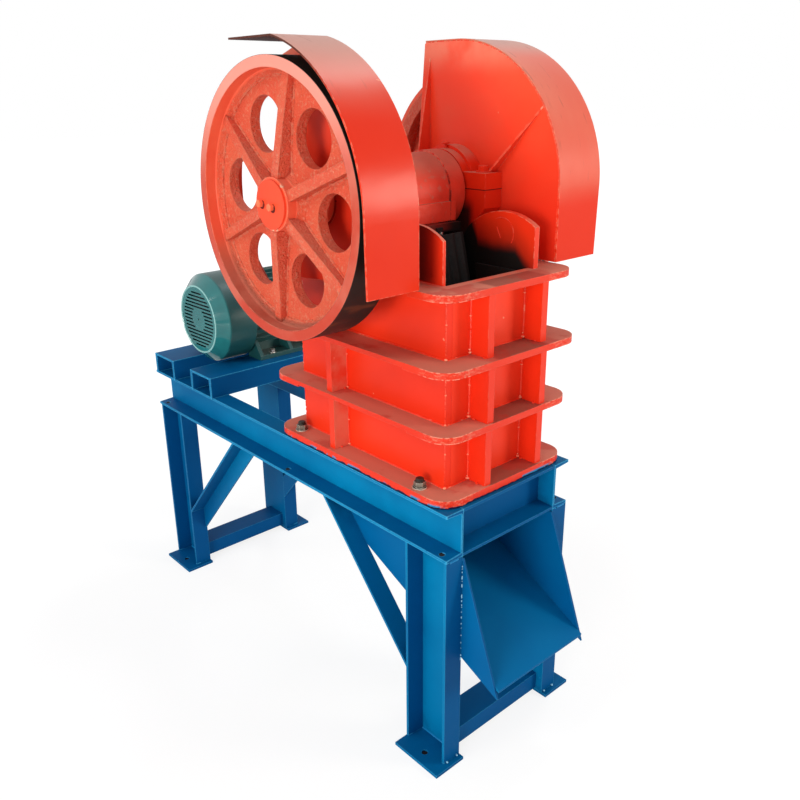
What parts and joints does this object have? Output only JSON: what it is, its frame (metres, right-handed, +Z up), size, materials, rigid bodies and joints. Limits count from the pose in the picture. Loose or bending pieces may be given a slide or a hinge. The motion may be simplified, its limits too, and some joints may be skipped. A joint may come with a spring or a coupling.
{
  "type": "jaw crusher with stand and motor",
  "caption": "Small belt-driven jaw crusher in a ribbed steel box with flywheel and guards, on a welded channel stand with a discharge chute and an electric motor.",
  "frame": {"origin": "on the floor, at the centre of the four foot bolts", "axes": "+X to the belt side, +Y from the chute towards the motor, +Z up"},
  "size_m": [0.727, 1.487, 1.6845],
  "materials": {
    "red_paint": "brushed-on gloss enamel, dusty on top",
    "wheel_paint": "rough cast iron, painted faces, dark bare rim",
    "blue_paint": "semi-gloss enamel",
    "teal_paint": "satin machine enamel",
    "liner_iron": "black painted casting",
    "dark_iron": "bare dark casting",
    "shaft_steel": "turned steel",
    "belt_rubber": "matt rubber"
  },
  "bodies": {
    "frame": {"beam_left": "blue_paint", "beam_right": "blue_paint", "cross_beam_front": "blue_paint", "leg_front_left": "blue_paint", "leg_front_right": "blue_paint", "leg_rear_left": "blue_paint", "leg_rear_right": "blue_paint", "foot_plates": "blue_paint", "braces_left": "blue_paint", "braces_right": "blue_paint", "ties": "blue_paint", "motor_rails": "blue_paint", "chute_floor": "blue_paint", "chute_sides": "blue_paint", "side_plate_left": "red_paint", "side_plate_right": "red_paint", "front_wall": "red_paint", "rear_wall": "red_paint", "ring_base": "red_paint", "ring_lower": "red_paint", "ring_upper": "red_paint", "ring_top": "red_paint", "ribs": "red_paint", "bearing_blocks": "red_paint", "bearing_caps": "red_paint", "guard_band_left": "red_paint", "guard_band_right": "red_paint", "guard_plate_left": "red_paint", "guard_plate_right": "red_paint", "toggle_seat": "red_paint", "fixed_jaw_plate": "liner_iron", "cheek_plates": "liner_iron", "toggle_plate": "liner_iron", "motor_frame": "teal_paint", "motor_fan_cowl": "teal_paint", "motor_pulley": "dark_iron", "v_belts": "belt_rubber"},
    "rotor": {"eccentric_shaft": "shaft_steel", "flywheel": "wheel_paint", "belt_pulley": "wheel_paint", "shaft_end_caps": "red_paint"},
    "swing_jaw": {"swing_jaw": "red_paint", "swing_jaw_plate": "liner_iron", "jaw_wedge": "red_paint"}
  },
  "joints": [
    {"name": "rotor_spin", "type": "hinge", "parent": "frame", "child": "rotor", "pos_m": [0, -0.2645, 1.339], "axis": [1, 0, 0], "continuous": true},
    {"name": "jaw_orbit", "type": "hinge", "parent": "rotor", "child": "swing_jaw", "pos_m": [0, -0.2645, 1.331], "axis": [1, 0, 0], "continuous": true}
  ],
  "couplings": [
    {"joint": "jaw_orbit", "follows": "rotor_spin", "ratio": -1}
  ]
}
